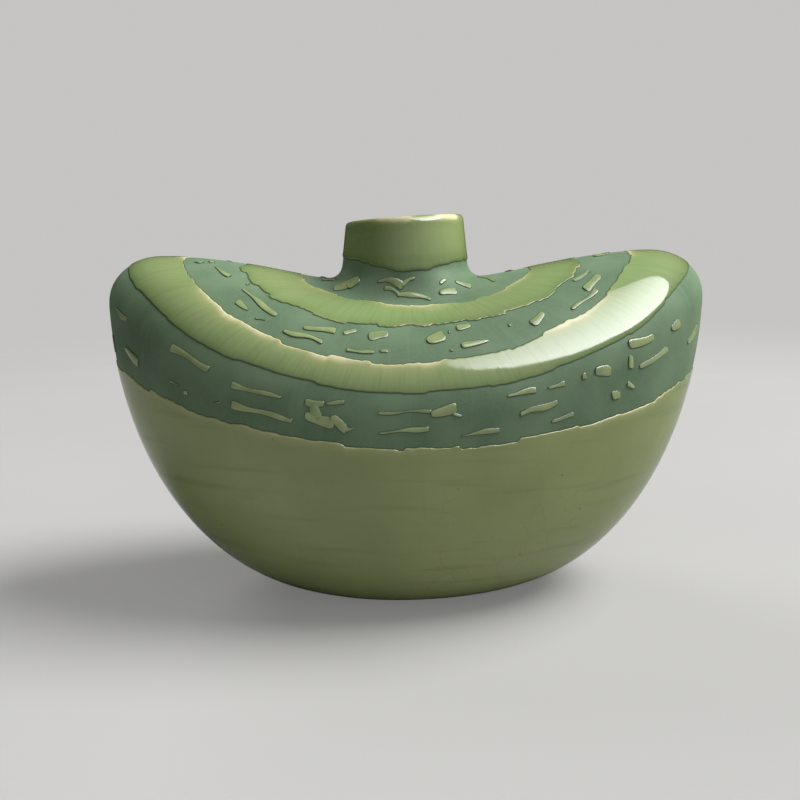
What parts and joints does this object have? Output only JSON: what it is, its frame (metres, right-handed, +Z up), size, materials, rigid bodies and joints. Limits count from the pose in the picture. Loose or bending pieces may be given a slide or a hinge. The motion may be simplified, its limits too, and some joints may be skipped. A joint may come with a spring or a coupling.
{
  "type": "pillow vase",
  "caption": "Wide oval ceramic vase with a saddle-shaped shoulder, short round neck and small foot, in light glossy and dark satin glaze bands.",
  "frame": {"origin": "on the standing surface, under the middle of the foot ring", "axes": "+X from wing to wing, +Y from the pictured front to the back, +Z up along the neck"},
  "size_m": [0.3196, 0.1601, 0.2052],
  "materials": {
    "bare_clay": "matte",
    "light_glaze": "gloss",
    "dark_glaze": "satin",
    "liner_glaze": "gloss",
    "drop_glaze": "gloss"
  },
  "bodies": {
    "root": {"foot_ring": "bare_clay", "lower_bowl": "bare_clay", "shoulder_cover": "bare_clay", "neck_collar": "bare_clay", "bowl_glaze": "light_glaze", "outer_band": "dark_glaze", "outer_stripe": "light_glaze", "middle_band": "dark_glaze", "inner_stripe": "light_glaze", "neck_band": "dark_glaze", "neck_glaze": "light_glaze", "liner_glaze": "liner_glaze", "outer_band_drops": "drop_glaze", "middle_band_drops": "drop_glaze", "neck_band_drops": "drop_glaze"}
  },
  "joints": []
}
